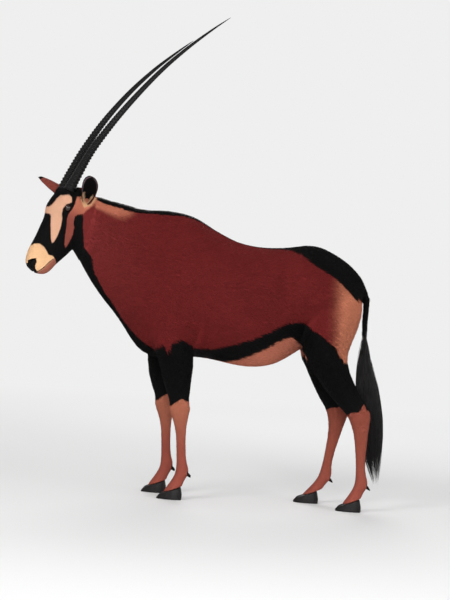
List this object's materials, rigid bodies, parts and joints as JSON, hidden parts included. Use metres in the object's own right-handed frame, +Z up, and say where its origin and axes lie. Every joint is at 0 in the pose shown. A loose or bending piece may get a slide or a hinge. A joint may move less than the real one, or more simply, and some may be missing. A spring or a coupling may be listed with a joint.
{
  "type": "gemsbok",
  "caption": "Standing life-size gemsbok with long ringed horns, a masked face, red-brown coat, black flank and thigh bands, pale lower legs and a long black tail tuft.",
  "frame": {"origin": "on the ground, under the middle of the animal's footprint", "axes": "-X ahead, the way the animal faces; +Z up; -Y its left side, +Y its right side"},
  "size_m": [1.5374, 0.4788, 2.03],
  "materials": {
    "coat": "short red-brown hair",
    "leg_coat": "short salmon-brown hair",
    "dark_coat": "black hair",
    "horn": "dark satin horn",
    "hoof": "dark satin hoof",
    "eye": "wet gloss"
  },
  "bodies": {
    "root": {"ear_left": "coat", "ear_right": "coat", "eye_left": "eye", "eye_right": "eye", "head": "coat", "hoof_front_left_inner": "hoof", "hoof_front_left_outer": "hoof", "hoof_front_right_inner": "hoof", "hoof_front_right_outer": "hoof", "hoof_hind_left_inner": "hoof", "hoof_hind_left_outer": "hoof", "hoof_hind_right_inner": "hoof", "hoof_hind_right_outer": "hoof", "horn_left": "horn", "horn_right": "horn", "leg_front_left_lower": "leg_coat", "leg_front_left_upper": "dark_coat", "leg_front_right_lower": "leg_coat", "leg_front_right_upper": "dark_coat", "leg_hind_left_lower": "leg_coat", "leg_hind_left_upper": "dark_coat", "leg_hind_right_lower": "leg_coat", "leg_hind_right_upper": "dark_coat", "neck": "coat", "tail_dock": "dark_coat", "tail_tuft": "dark_coat", "torso": "coat"}
  },
  "joints": []
}
